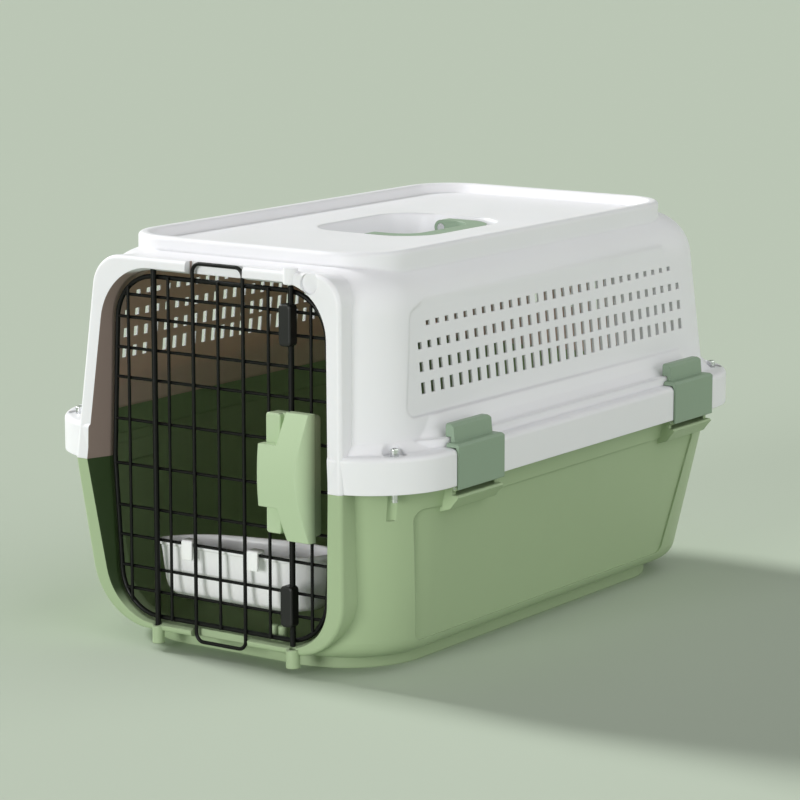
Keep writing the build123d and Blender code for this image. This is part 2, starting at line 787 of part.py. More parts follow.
# Latch slider: an arched grip whose wing reaches over the strip
with BuildPart() as latch_slider:
    with BuildSketch(upright(slider_back_y)):
        with BuildLine():
            Polyline(
                (latch_left - 1, wing_bottom),
                (strip_right + 2, wing_bottom),
                (strip_right + 7, slider_bottom),
                (latch_right, slider_bottom),
                (latch_right, slider_top),
                (strip_right + 7, slider_top),
                (strip_right + 2, wing_top),
                (latch_left - 1, wing_top),
                close=True,
            )
        make_face()
    extrude(amount=slider_back_y - slider_front_y)
    with BuildSketch(Plane.YZ.offset(latch_left - 2)):
        with BuildLine():
            Polyline(
                (slider_front_y - 1, slider_bottom - 1),
                (slider_end_y, slider_bottom - 1),
                (slider_end_y, slider_bottom),
            )
            ThreePointArc(
                (slider_end_y, slider_bottom), (slider_front_y, latch_middle), (slider_end_y, slider_top)
            )
            Polyline(
                (slider_end_y, slider_top),
                (slider_end_y, slider_top + 1),
                (slider_front_y - 1, slider_top + 1),
                (slider_front_y - 1, slider_bottom - 1),
            )
        make_face()
    extrude(amount=latch_right - latch_left + 4, mode=Mode.SUBTRACT)
    # Rounded right side
    with BuildSketch(Plane.XY.offset(slider_bottom - 1)):
        with BuildLine():
            Polyline(
                (slider_round_x, slider_front_y),
                (slider_round_x, slider_front_y - 1),
                (latch_right + 1, slider_front_y - 1),
                (latch_right + 1, slider_back_y - 1.5),
                (latch_right, slider_back_y - 1.5),
            )
            ThreePointArc(
                (latch_right, slider_back_y - 1.5),
                (latch_right - 3.6, slider_front_y + 3.0),
                (slider_round_x, slider_front_y),
            )
        make_face()
    extrude(amount=slider_top - slider_bottom + 2, mode=Mode.SUBTRACT)
    # Hollow over the strip, and the sloping slots that push the rods apart
    with BuildSketch(upright(slider_back_y + 1)):
        with Locations(((latch_left + strip_right) / 2 - 2.5, latch_middle)):
            Rectangle(strip_right - latch_left + 6, wing_top - wing_bottom + 2)
    extrude(amount=slider_back_y + 1 - strip_front_y + clearance, mode=Mode.SUBTRACT)
    with BuildSketch(upright(slider_back_y + 1)):
        for side in (-1, 1):
            slot_z = latch_middle + side * (peg_offset_z + latch_travel / 2)
            with Locations(Location((latch_rod_x - latch_travel / 2, slot_z, 0), (0, 0, -side * 45))):
                SlotCenterToCenter(latch_travel * 2**0.5, 2 * peg_radius + 0.5)
    extrude(amount=4, mode=Mode.SUBTRACT)
latch_slider.part.label = "latch_slider"
export_step(latch_slider.part, "parts/latch_slider.step")

# Plastic guides that clamp the latch rods to the grille
for name, middle_z in (("latch_guide_upper", guide_upper_z), ("latch_guide_lower", guide_lower_z)):
    with BuildPart() as guide:
        with BuildSketch(upright(latch_back_y)):
            with Locations(((guide_left + guide_right) / 2, middle_z)):
                RectangleRounded(guide_right - guide_left, guide_height, guide_corner)
        extrude(amount=latch_back_y - guide_front_y)
        fillet(guide.faces().sort_by(Axis.Y)[0].edges(), guide_round)
        with BuildSketch(Plane.XY.offset(middle_z - guide_height)):
            with Locations((latch_rod_x, rod_y)):
                Circle(rod_radius + 0.08)
        extrude(amount=2 * guide_height, mode=Mode.SUBTRACT)
    guide.part.label = name
    export_step(guide.part, f"parts/{name}.step")


def bowl_plan(grow, corner):
    """Outline of the bowl seen from above: straight along the door, narrower behind."""
    with BuildSketch(mode=Mode.PRIVATE) as outline:
        with BuildLine():
            Polyline(
                (bowl_left - grow, bowl_front_y - grow),
                (bowl_right + grow, bowl_front_y - grow),
                (bowl_right - bowl_back_inset + grow, bowl_back_y + grow),
                (bowl_left + bowl_back_inset - grow, bowl_back_y + grow),
                close=True,
            )
        make_face()
        fillet(outline.vertices(), corner)
    return outline.sketch


# Food bowl: a trough with a lip and two hooks over a level wire
hook_wire_z = door_middle_z - horizontal_steps[2]
with BuildPart() as bowl_hollow:
    with BuildSketch(Plane.XY.offset(bowl_top)):
        add(bowl_plan(-bowl_wall, 4))
    extrude(amount=bowl_bottom + bowl_wall - bowl_top, taper=bowl_draft)
    fillet(bowl_hollow.faces().sort_by(Axis.Z)[0].edges(), 5)
with BuildPart() as food_bowl:
    with BuildSketch(Plane.XY.offset(bowl_top)):
        add(bowl_plan(0, 6))
    extrude(amount=bowl_bottom - bowl_top, taper=bowl_draft)
    fillet(food_bowl.faces().sort_by(Axis.Z)[0].edges(), 7)
    with BuildSketch(Plane.XY.offset(bowl_top)):
        add(bowl_plan(bowl_lip, 7))
    extrude(amount=-bowl_wall)
    add(bowl_hollow.part, mode=Mode.SUBTRACT)
    fillet(food_bowl.faces().sort_by(Axis.Z)[-1].edges(), 0.7)
    for side in (-1, 1):
        with BuildSketch(Plane.YZ.offset(side * hook_x)):
            with BuildLine():
                Polyline(
                    (bowl_front_y + 1.5, bowl_top - 1.5),
                    (bowl_front_y + 1.5, hook_wire_z + 3.4),
                    (horizontal_y - 2.6, hook_wire_z + 3.4),
                    (horizontal_y - 3.6, hook_wire_z + 2.4),
                    (horizontal_y - 3.6, hook_wire_z - hook_drop),
                    (horizontal_y - 1.8, hook_wire_z - hook_drop),
                    (horizontal_y - 1.8, hook_wire_z + 1.4),
                    (bowl_front_y - 0.6, hook_wire_z + 1.4),
                    (bowl_front_y - 0.6, bowl_top - 1.5),
                    close=True,
                )
            make_face()
        extrude(amount=hook_width / 2, both=True)
food_bowl.part.label = "food_bowl"
export_step(food_bowl.part, "parts/food_bowl.step")

# Carry handle: a flat bow with an eye at each end
with BuildPart() as carry_handle:
    with BuildSketch(Plane.XY.offset(handle_low_z)):
        with Locations((handle_out_x / 2, 0)):
            Rectangle(handle_out_x, 2 * handle_outer_y)
        inner_x = handle_out_x - handle_grip_width
        with Locations((inner_x / 2, 0)):
            Rectangle(inner_x, 2 * handle_inner_y, mode=Mode.SUBTRACT)
    extrude(amount=handle_high_z - handle_low_z)
    fillet(carry_handle.edges().filter_by(Axis.Z).group_by(Axis.X)[-1], handle_outer_round)
    fillet(carry_handle.edges().filter_by(Axis.Z).group_by(Axis.X)[-2], handle_inner_round)
    for side in (-1, 1):
        with BuildSketch(Plane.XZ.offset(-side * handle_inner_y)):
            with Locations((0, handle_pivot_z)):
                Circle(handle_eye)
        extrude(amount=-side * (handle_outer_y - handle_inner_y))
    with BuildSketch(Plane.XZ.offset(handle_outer_y + 1)):
        with Locations((0, handle_pivot_z)):
            Circle(handle_pin + 0.06)
    extrude(amount=-2 * handle_outer_y - 2, mode=Mode.SUBTRACT)
carry_handle.part.label = "carry_handle"
export_step(carry_handle.part, "parts/carry_handle.step")

# Pivot pins of the handle
for name, side in (("handle_pin_front", -1), ("handle_pin_rear", 1)):
    with BuildPart() as pin:
        with BuildSketch(Plane.XZ.offset(-side * handle_inner_y)):
            with Locations((0, handle_pivot_z)):
                Circle(handle_pin)
        extrude(amount=-side * (handle_pin_end - handle_inner_y))
    pin.part.label = name
    export_step(pin.part, f"parts/{name}.step")

# Side clips: a plate on a knuckle, stepping in to a narrower hook over the ledge
clip_names = ("clip_front_left", "clip_front_right", "clip_rear_left", "clip_rear_right")
knuckle_width = clip_width - 2 * clip_ear - 2 * clearance
for name, (side_x, side_y) in zip(clip_names, corner_signs):
    with BuildPart() as clip:
        with BuildSketch(Plane.XZ.offset(-side_y * clip_y)):
            with BuildLine():
                Polyline(
                    (side_x * clip_outer_x, clip_foot_z),
                    (side_x * clip_outer_x, shoulder_z + 1.2),
                    (side_x * (clip_outer_x - 1.8), shoulder_z + 3),
                    (side_x * (ledge_half_x + 0.4), shoulder_z + 3),
                    (side_x * (ledge_half_x + 0.4), shoulder_z + clearance),
                    (side_x * (clip_outer_x - clip_thick), shoulder_z + clearance),
                    (side_x * (clip_outer_x - clip_thick), clip_pivot_z + 3.6),
                    (side_x * (clip_outer_x - clip_foot_thick), clip_pivot_z + 2.4),
                    (side_x * (clip_outer_x - clip_foot_thick), clip_foot_z),
                    close=True,
                )
            make_face()
        extrude(amount=clip_width / 2, both=True)
        plate_ends = clip.edges().filter_by(Axis.X).group_by(Axis.Z)[-1]
        fillet(plate_ends, clip_shoulder_round)
        with BuildSketch(Plane.XZ.offset(-side_y * clip_y)):
            with BuildLine():
                Polyline(
                    (side_x * (ledge_half_x + 0.4), shoulder_z + clearance),
                    (side_x * (ledge_half_x + 4), shoulder_z + 2),
                    (side_x * (ledge_half_x + 2.9), ledge_z + 7),
                    (side_x * (ledge_half_x + 0.5), ledge_z + 9),
                    (side_x * (ledge_half_x - 3.5), ledge_z + 9),
                    (side_x * (ledge_half_x - 3.5), ledge_z + clearance),
                    (side_x * (ledge_half_x + 0.4), ledge_z + clearance),
                    close=True,
                )
            make_face()
        extrude(amount=clip_hook_width / 2, both=True)
        hook_ends = clip.edges().filter_by(Axis.X).group_by(Axis.Z)[-1]
        fillet(hook_ends, clip_shoulder_round)
        # Knuckle between the ears of the bracket, bored for the pin
        with BuildSketch(Plane.XZ.offset(-side_y * clip_y)):
            with Locations((side_x * clip_pivot_x, clip_pivot_z)):
                Circle(clip_knuckle)
            with BuildLine():
                Polyline(
                    (side_x * clip_pivot_x, clip_pivot_z),
                    (side_x * (clip_outer_x - 1), clip_foot_z),
                    (side_x * (clip_outer_x - 1), clip_pivot_z + 3),
                    (side_x * (clip_pivot_x + 1), clip_pivot_z + 1.6),
                    close=True,
                )
            make_face()
        extrude(amount=knuckle_width / 2, both=True)
        with BuildSketch(Plane.XZ.offset(-side_y * clip_y)):
            with Locations((side_x * clip_pivot_x, clip_pivot_z)):
                Circle(clip_pin + 0.06)
        extrude(amount=clip_width, both=True, mode=Mode.SUBTRACT)
    clip.part.label = name
    export_step(clip.part, f"parts/{name}.step")

# Pins of the clips
with BuildPart() as clip_pins:
    for side_x, side_y in corner_signs:
        with BuildSketch(Plane.XZ.offset(-side_y * clip_y)):
            with Locations((side_x * clip_pivot_x, clip_pivot_z)):
                Circle(clip_pin)
        extrude(amount=clip_width / 2, both=True)
clip_pins.part.label = "clip_pins"
export_step(clip_pins.part, "parts/clip_pins.step")

# Corner bolts with their nuts
with BuildPart() as corner_bolts:
    for side_x, side_y in corner_signs:
        with BuildSketch(Plane.XY.offset(bolt_tip_z)):
            with Locations((side_x * bolt_x, side_y * bolt_y)):
                Circle(bolt_radius)
        extrude(amount=shoulder_z - seat_depth - bolt_tip_z)
        with BuildSketch(Plane.XY.offset(shoulder_z - seat_depth)):
            with Locations((side_x * bolt_x, side_y * bolt_y)):
                Circle(bolt_head)
        extrude(amount=bolt_head_height)
    fillet(corner_bolts.faces().group_by(Axis.Z)[-1].edges(), 0.8)
    # Cross recess in each head
    for side_x, side_y in corner_signs:
        with BuildSketch(Plane.XY.offset(shoulder_z - seat_depth + bolt_head_height)):
            with Locations((side_x * bolt_x, side_y * bolt_y)):
                Rectangle(cross_long, cross_wide)
                Rectangle(cross_wide, cross_long)
        extrude(amount=-cross_depth, mode=Mode.SUBTRACT)
corner_bolts.part.label = "corner_bolts"
export_step(corner_bolts.part, "parts/corner_bolts.step")
with BuildPart() as corner_nuts:
    for side_x, side_y in corner_signs:
        with BuildSketch(Plane.XY.offset(lug_z - nut_height)):
            with Locations((side_x * bolt_x, side_y * bolt_y)):
                RegularPolygon(nut_radius, 6)
                Circle(bolt_radius + 0.02, mode=Mode.SUBTRACT)
        extrude(amount=nut_height)
corner_nuts.part.label = "corner_nuts"
export_step(corner_nuts.part, "parts/corner_nuts.step")
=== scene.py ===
import math

import bmesh
import bpy
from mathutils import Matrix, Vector


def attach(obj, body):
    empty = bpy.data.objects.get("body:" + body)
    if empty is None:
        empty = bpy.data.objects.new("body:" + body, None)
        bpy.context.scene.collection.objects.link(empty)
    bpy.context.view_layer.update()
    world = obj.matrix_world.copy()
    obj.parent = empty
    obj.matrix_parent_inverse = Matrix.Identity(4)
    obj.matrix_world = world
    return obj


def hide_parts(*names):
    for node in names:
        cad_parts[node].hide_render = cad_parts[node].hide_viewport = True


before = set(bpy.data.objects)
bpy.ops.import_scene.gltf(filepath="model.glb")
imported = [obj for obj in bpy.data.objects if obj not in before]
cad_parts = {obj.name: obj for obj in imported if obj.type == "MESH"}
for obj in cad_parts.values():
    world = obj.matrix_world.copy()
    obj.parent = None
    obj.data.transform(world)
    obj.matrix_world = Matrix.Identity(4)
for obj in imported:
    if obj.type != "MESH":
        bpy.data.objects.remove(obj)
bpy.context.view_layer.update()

# Millimetres in a metre; the frame is in metres
per_metre = 1000

# Camera, as the photograph shows the carrier: angles in degrees, lens and sensor in millimetres
view_azimuth = 34.84
view_elevation = 10.32
view_distance = 2.2807
view_target = Vector((-0.0050, -0.0035, 0.1462))
view_lens = 141.09
view_sensor = 36
view_reach = 100

# Studio lamps: direction to the lamp in degrees (azimuth from the door side towards +X,
# elevation), its width in degrees and its level on a surface that faces it
lamps = {
    "key": (-90.0, 33.0, 12.0, 0.92),
    "front": (-5.0, 8.5, 24.0, 0.58),
    "fill": (100.0, 30.0, 90.0, 0.50),
}
sky_level = 0.15
floor_half = 30.0

# Colours, linear
backdrop_colour = (0.485, 0.552, 0.451)
floor_colour = (0.50, 0.569, 0.465)
white_colour = (0.845, 0.845, 0.868)
# Painted shade on the inner faces of the white shell, brown-grey, and darker still on the door's reveal
white_inside_shade = (0.72, 0.55, 0.47)
white_reveal_shade = (0.29, 0.22, 0.195)
green_colour = (0.395, 0.505, 0.303)
# Painted shade on the inner faces of the sage shell, and near black on the door's reveal
green_inside_shade = (0.29, 0.40, 0.21)
green_reveal_shade = (0.026, 0.05, 0.014)
clip_colour = (0.26, 0.355, 0.255)
latch_colour = (0.475, 0.60, 0.385)
guide_colour = (0.006, 0.006, 0.006)
wire_colour = (0.0025, 0.0025, 0.0025)
bowl_colour = (0.955, 0.955, 0.96)
steel_colour = (0.72, 0.73, 0.74)

# Moulded plastic: gloss, light that enters it, and how much colour and roughness drift
plastic_specular = 0.4
skin_radius = (1.0, 0.9, 0.8)
skin_scale = 0.004
colour_drift = 0.03
colour_patches = 9.0
polish_patches = 26.0
polish_spread = 0.06

# Its surface: fine grain and flow marks, as noise scale, strength and depth in metres
grain_scale = 1500.0
grain_strength = 0.06
grain_depth = 0.0004
flow_scale = 14.0
flow_strength = 0.12
flow_depth = 0.0015

# Middle part of a noise output, which is spread over a range
noise_low = 0.3
noise_high = 0.7

# Roughness of each plastic, and how far light enters the pale ones
shell_roughness = 0.42
small_part_roughness = 0.4
bowl_roughness = 0.25
pale_subsurface = 0.1

# Edge radii, in metres
edge_samples = 6
broad_edge = 0.0036
small_edge = 0.0007
plain_edge = 0.0006
base_edge = 0.0012
stop_edge = 0.0004
clip_edge = 0.0009
latch_edge = 0.0010

# Plated steel: turning marks and roughness below and above its mean
steel_roughness = 0.22
steel_marks = 700.0
steel_smoother = 0.05
steel_rougher = 0.1
steel_mark_strength = 0.1
steel_mark_depth = 0.0002

# Dip coating on the wire: runs, gloss and roughness
wire_specular = 0.22
wire_runs = 320.0
wire_roughness = (0.3, 0.46)
wire_run_strength = 0.2
wire_run_depth = 0.0003

# Inner wall of each shell: half width at a height, and how that changes with height, in millimetres
top_wall_half = 133.3
top_wall_height = 130.4
top_wall_lean = -0.102
top_wall_slack = 0.6
base_wall_half = 121.5
base_wall_height = 11.0
base_wall_lean = 0.2018

# Door's reveal: where along y the shade painted inside turns into the darker shade painted on the reveal
reveal_span = (-214.0, -222.0)

# Faces inside the top shell, where shade is painted: where each mask starts and where it is full
top_inside = {
    "side_facing": (0.15, 0.35),
    "side_depth": (0.4, -0.4),
    "end_facing": (0.4, 0.6),
    "end_reach": (121.0, 119.0),
    "roof_facing": (-0.4, -0.6),
    "roof_height": (244.0, 246.0),
    "roof_front": (-223.0, -221.0),
    "well_height": (243.0, 245.0),
    "well_reach_x": (62.0, 60.0),
    "well_reach_y": (76.0, 74.0),
    "tray_height": (271.0, 271.6),
    "front_face": (-221.0, -223.0),
    "front_height": (258.0, 263.0),
}

# Faces inside the base shell, where shade is painted, in the same way
base_inside = {
    "side_facing": (0.15, 0.35),
    "side_depth": (0.6, -0.2),
    "end_facing": (0.4, 0.6),
    "end_reach": (139.0, 137.0),
    "floor_facing": (0.4, 0.6),
    "floor_below": (26.0, 22.0),
    "floor_above": (12.0, 13.0),
    "sill_front": (-207.0, -209.0),
    "sill_height": (40.0, 24.0),
}

# Parts of the top shell that keep a small edge radius, in the same way
crisp_parts = {
    "vent_above": (182.0, 185.0),
    "vent_below": (246.0, 242.0),
    "side_vent_reach": (176.0, 172.0),
    "rear_vent_reach": (66.0, 63.0),
    "door_front": (-205.0, -210.0),
    "door_reach": (117.0, 115.0),
    "below_flange": (153.0, 151.0),
}

# Recessed side panels of the top shell, in millimetres: outer wall, depth, the stretch that is
# looked through for them, and where along y they fade out
panel_wall_half = 135.9
panel_wall_height = 130.4
panel_wall_lean = 0.10204
panel_depth = 1.3
panel_low = 174.0
panel_high = 256.0
panel_front = -100.0
panel_rear = 160.0
panel_slack = 0.12
panel_fade_start = -20.0
panel_fade_end = 140.0

# Bowl, in millimetres: outline of its rim from above, then its section as distance inside the
# rim and height
bowl_outline = (
    (-57.0, -217.2), (-42.0, -217.4), (-18.0, -217.4), (10.0, -217.4), (34.0, -217.2), (50.0, -214.4),
    (60.5, -205.5), (67.0, -193.0), (67.5, -180.5), (58.0, -171.5), (38.0, -168.8), (18.0, -170.2),
    (0.0, -174.4), (-18.0, -179.0), (-34.0, -184.8), (-47.0, -193.0), (-56.0, -203.5), (-60.5, -212.5),
)
bowl_profile = (
    (24.0, 36.4), (14.0, 36.4), (10.0, 37.4), (7.2, 39.8), (5.6, 43.2), (4.4, 48.0), (2.6, 66.0),
    (1.9, 71.6), (1.4, 72.4), (0.3, 72.6), (0.0, 73.2), (0.0, 75.4), (0.6, 76.0), (1.6, 76.2),
    (3.0, 76.0), (3.8, 75.4), (4.2, 72.0), (5.6, 60.0), (7.4, 48.0), (9.4, 42.6), (12.6, 39.6),
    (17.0, 38.8), (24.0, 38.8),
)
bowl_outline_steps = 6
bowl_hooks = (-28.0, 28.0)
bowl_hook_half = 4.5
bowl_hook_round = 0.6
bowl_hook_segments = 2
bowl_hook_profile = (
    (-215.9, 74.4), (-215.9, 80.0), (-223.5, 80.0), (-224.5, 79.0), (-224.5, 66.1), (-222.7, 66.1),
    (-222.7, 78.0), (-218.0, 78.0), (-218.0, 74.4),
)

# Door stops on the sill, in millimetres: their places, then their section as radius and height
door_stops = ((39.0, -214.0), (45.4, -214.0))
door_stop_profile = ((3.0, 18.0), (3.0, 28.0), (2.8, 28.6), (2.3, 29.0), (1.2, 29.2))
door_stop_sides = 32


def direction(azimuth, elevation):
    """Unit vector at an azimuth from the door side towards +X, and at an elevation, in degrees."""
    turn = math.radians(azimuth)
    rise = math.radians(elevation)
    return Vector((math.sin(turn) * math.cos(rise), -math.cos(turn) * math.cos(rise), math.sin(rise)))


def add_camera():
    """Camera at the photograph's angle, far away with a long lens."""
    towards_camera = direction(view_azimuth, view_elevation)
    data = bpy.data.cameras.new("camera")
    data.lens = view_lens
    data.sensor_width = view_sensor
    data.clip_end = view_reach
    camera = bpy.data.objects.new("camera", data)
    camera.location = view_target + towards_camera * view_distance
    camera.rotation_euler = towards_camera.to_track_quat("Z", "Y").to_euler()
    bpy.context.scene.collection.objects.link(camera)
    bpy.context.scene.camera = camera


def add_lamps():
    """Distant soft lamps, so that the whole floor has one even level."""
    for name, (azimuth, elevation, width, level) in lamps.items():
        data = bpy.data.lights.new(name, "SUN")
        data.angle = math.radians(width)
        data.energy = level * math.pi
        lamp = bpy.data.objects.new(name, data)
        lamp.rotation_euler = direction(azimuth, elevation).to_track_quat("Z", "Y").to_euler()
        bpy.context.scene.collection.objects.link(lamp)


def add_node(tree, kind, **inputs):
    """Shader node with some of its inputs set; a name with an underscore stands for a space."""
    node = tree.nodes.new(kind)
    for name, value in inputs.items():
        node.inputs[name.replace("_", " ")].default_value = value
    return node


def calc(tree, operation, *values):
    """Math node on numbers or sockets."""
    node = tree.nodes.new("ShaderNodeMath")
    node.operation = operation
    for socket, value in zip(node.inputs, values):
        if isinstance(value, (int, float)):
            socket.default_value = value
        else:
            tree.links.new(value, socket)
    return node.outputs["Value"]


def add_sky():
    """Even weak light from all sides; the camera, gloss and glass see the backdrop's colour."""
    world = bpy.data.worlds.new("studio")
    world.use_nodes = True
    tree = world.node_tree
    light = tree.nodes["Background"]
    light.inputs["Color"].default_value = (1, 1, 1, 1)
    light.inputs["Strength"].default_value = sky_level
    seen = add_node(tree, "ShaderNodeBackground", Color=(*backdrop_colour, 1), Strength=1.0)
    ray = tree.nodes.new("ShaderNodeLightPath")
    glossy = calc(tree, "MAXIMUM", ray.outputs["Is Camera Ray"], ray.outputs["Is Glossy Ray"])
    shows = calc(tree, "MAXIMUM", glossy, ray.outputs["Is Transmission Ray"])
    mix = tree.nodes.new("ShaderNodeMixShader")
    tree.links.new(shows, mix.inputs["Fac"])
    tree.links.new(light.outputs["Background"], mix.inputs[1])
    tree.links.new(seen.outputs["Background"], mix.inputs[2])
    tree.links.new(mix.outputs["Shader"], tree.nodes["World Output"].inputs["Surface"])
    bpy.context.scene.world = world


def new_material(name):
    """Empty node material with its shader."""
    material = bpy.data.materials.new(name)
    material.use_nodes = True
    return material, material.node_tree, material.node_tree.nodes["Principled BSDF"]


def floor_material():
    """Plain pale sage paper."""
    material, tree, shader = new_material("backdrop")
    shader.inputs["Base Color"].default_value = (*floor_colour, 1)
    shader.inputs["Roughness"].default_value = 1.0
    shader.inputs["Specular IOR Level"].default_value = 0.0
    return material


def add_floor():
    """One wide plain floor, which fills the whole view."""
    sides = ((-1, -1), (1, -1), (1, 1), (-1, 1))
    corners = [(side_x * floor_half, side_y * floor_half, 0) for side_x, side_y in sides]
    mesh = bpy.data.meshes.new("floor")
    mesh.from_pydata(corners, [], [(0, 1, 2, 3)])
    floor = bpy.data.objects.new("floor", mesh)
    floor.data.materials.append(floor_material())
    bpy.context.scene.collection.objects.link(floor)


def ramp(tree, value, low, high):
    """Smooth step from 0 at low to 1 at high; low may be the larger."""
    node = tree.nodes.new("ShaderNodeMapRange")
    node.interpolation_type = "SMOOTHSTEP"
    node.inputs["From Min"].default_value = min(low, high)
    node.inputs["From Max"].default_value = max(low, high)
    node.inputs["To Min"].default_value = 0.0 if low < high else 1.0
    node.inputs["To Max"].default_value = 1.0 if low < high else 0.0
    tree.links.new(value, node.inputs["Value"])
    return node.outputs["Result"]


def both(tree, *masks):
    """Product of masks."""
    result = masks[0]
    for mask in masks[1:]:
        result = calc(tree, "MULTIPLY", result, mask)
    return result


def either(tree, *masks):
    """Largest of masks."""
    result = masks[0]
    for mask in masks[1:]:
        result = calc(tree, "MAXIMUM", result, mask)
    return result


def without(tree, mask, other):
    """A mask where another one isn't."""
    return both(tree, mask, calc(tree, "SUBTRACT", 1.0, other))


def add_noise(tree, scale, detail=3.0, roughness=0.5):
    """Noise over the object's own coordinates."""
    place = add_node(tree, "ShaderNodeTexCoord")
    noise = add_node(tree, "ShaderNodeTexNoise", Scale=scale, Detail=detail, Roughness=roughness)
    tree.links.new(place.outputs["Object"], noise.inputs["Vector"])
    return noise


def add_range(tree, source, low, high):
    """Spreads a noise output over a range of values."""
    spread = add_node(tree, "ShaderNodeMapRange")
    spread.inputs["From Min"].default_value = noise_low
    spread.inputs["From Max"].default_value = noise_high
    spread.inputs["To Min"].default_value = low
    spread.inputs["To Max"].default_value = high
    tree.links.new(source, spread.inputs["Value"])
    return spread.outputs["Result"]


def add_bump(tree, height, strength, depth, normal=None):
    """Bump from a noise, on top of another normal where one is given."""
    bump = add_node(tree, "ShaderNodeBump", Strength=strength, Distance=depth)
    tree.links.new(height.outputs["Fac"], bump.inputs["Height"])
    if normal:
        tree.links.new(normal, bump.inputs["Normal"])
    return bump.outputs["Normal"]


def shell_place(tree):
    """Position on a shell, in millimetres."""
    place = tree.nodes.new("ShaderNodeTexCoord")
    split = tree.nodes.new("ShaderNodeSeparateXYZ")
    tree.links.new(place.outputs["Object"], split.inputs["Vector"])
    return [calc(tree, "MULTIPLY", split.outputs[axis], per_metre) for axis in "XYZ"]


def shell_facing(tree, x, y):
    """How far a shell's surface faces inwards along x and y, and upwards."""
    shape = tree.nodes.new("ShaderNodeNewGeometry")
    facing = tree.nodes.new("ShaderNodeSeparateXYZ")
    tree.links.new(shape.outputs["True Normal"], facing.inputs["Vector"])
    inward = []
    for axis, place in (("X", x), ("Y", y)):
        towards_middle = calc(tree, "SIGN", calc(tree, "MULTIPLY", place, -1.0))
        inward.append(calc(tree, "MULTIPLY", facing.outputs[axis], towards_middle))
    return (*inward, facing.outputs["Z"])


def past_wall(tree, reach_x, z, lean, offset):
    """How far a point is outside a shell's leaning inner wall, in millimetres."""
    wall_x = calc(tree, "MULTIPLY_ADD", z, lean, offset)
    return calc(tree, "SUBTRACT", reach_x, wall_x)


# Where shade is painted inside the top shell
def inside_top(tree):
    """Mask of the faces inside the top shell, without the slots, the tray and the handle well."""
    x, y, z = shell_place(tree)
    inward_x, inward_y, up = shell_facing(tree, x, y)
    reach_x = calc(tree, "ABSOLUTE", x)
    reach_y = calc(tree, "ABSOLUTE", y)
    offset = top_wall_half - top_wall_lean * top_wall_height + top_wall_slack
    depth = past_wall(tree, reach_x, z, top_wall_lean, offset)
    side = both(
        tree,
        ramp(tree, inward_x, *top_inside["side_facing"]),
        ramp(tree, depth, *top_inside["side_depth"]),
    )
    end = both(
        tree,
        ramp(tree, inward_y, *top_inside["end_facing"]),
        ramp(tree, reach_x, *top_inside["end_reach"]),
    )
    roof = both(
        tree,
        ramp(tree, up, *top_inside["roof_facing"]),
        ramp(tree, z, *top_inside["roof_height"]),
        ramp(tree, y, *top_inside["roof_front"]),
    )
    well = both(
        tree,
        ramp(tree, z, *top_inside["well_height"]),
        ramp(tree, reach_x, *top_inside["well_reach_x"]),
        ramp(tree, reach_y, *top_inside["well_reach_y"]),
    )
    tray = ramp(tree, z, *top_inside["tray_height"])
    front = both(
        tree,
        ramp(tree, y, *top_inside["front_face"]),
        ramp(tree, z, *top_inside["front_height"]),
    )
    return without(tree, either(tree, side, end, roof), either(tree, well, tray, front))


# Where shade is painted inside the base shell
def inside_base(tree):
    """Mask of the faces inside the base shell, fading out on the sill."""
    x, y, z = shell_place(tree)
    inward_x, inward_y, up = shell_facing(tree, x, y)
    reach_x = calc(tree, "ABSOLUTE", x)
    offset = base_wall_half - base_wall_lean * base_wall_height
    depth = past_wall(tree, reach_x, z, base_wall_lean, offset)
    side = both(
        tree,
        ramp(tree, inward_x, *base_inside["side_facing"]),
        ramp(tree, depth, *base_inside["side_depth"]),
    )
    end = both(
        tree,
        ramp(tree, inward_y, *base_inside["end_facing"]),
        ramp(tree, reach_x, *base_inside["end_reach"]),
    )
    floor = both(
        tree,
        ramp(tree, up, *base_inside["floor_facing"]),
        ramp(tree, z, *base_inside["floor_below"]),
        ramp(tree, z, *base_inside["floor_above"]),
    )
    sill = both(
        tree,
        ramp(tree, y, *base_inside["sill_front"]),
        ramp(tree, z, *base_inside["sill_height"]),
    )
    return without(tree, either(tree, side, end, floor), sill)


def soft_moulding(tree):
    """Edge radius on the top shell: broad on its steps and rim, small at vents, door and joint."""
    x, y, z = shell_place(tree)
    reach_x = calc(tree, "ABSOLUTE", x)
    reach_y = calc(tree, "ABSOLUTE", y)
    vent_rows = both(
        tree,
        ramp(tree, z, *crisp_parts["vent_above"]),
        ramp(tree, z, *crisp_parts["vent_below"]),
    )
    side_vents = both(tree, vent_rows, ramp(tree, reach_y, *crisp_parts["side_vent_reach"]))
    rear_vents = both(tree, vent_rows, ramp(tree, reach_x, *crisp_parts["rear_vent_reach"]))
    door = both(
        tree,
        ramp(tree, y, *crisp_parts["door_front"]),
        ramp(tree, reach_x, *crisp_parts["door_reach"]),
    )
    low = ramp(tree, z, *crisp_parts["below_flange"])
    crisp = either(tree, side_vents, rear_vents, door, low)
    return calc(tree, "MULTIPLY_ADD", crisp, small_edge - broad_edge, broad_edge)


def mix_colours(tree, first, second, share):
    """Mixes two colours, each a tuple or a socket, by a socket."""
    mix = add_node(tree, "ShaderNodeMix")
    mix.data_type = "RGBA"
    for name, colour in (("A", first), ("B", second)):
        if isinstance(colour, tuple):
            mix.inputs[name].default_value = (*colour, 1)
        else:
            tree.links.new(colour, mix.inputs[name])
    tree.links.new(share, mix.inputs["Factor"])
    return mix.outputs["Result"]


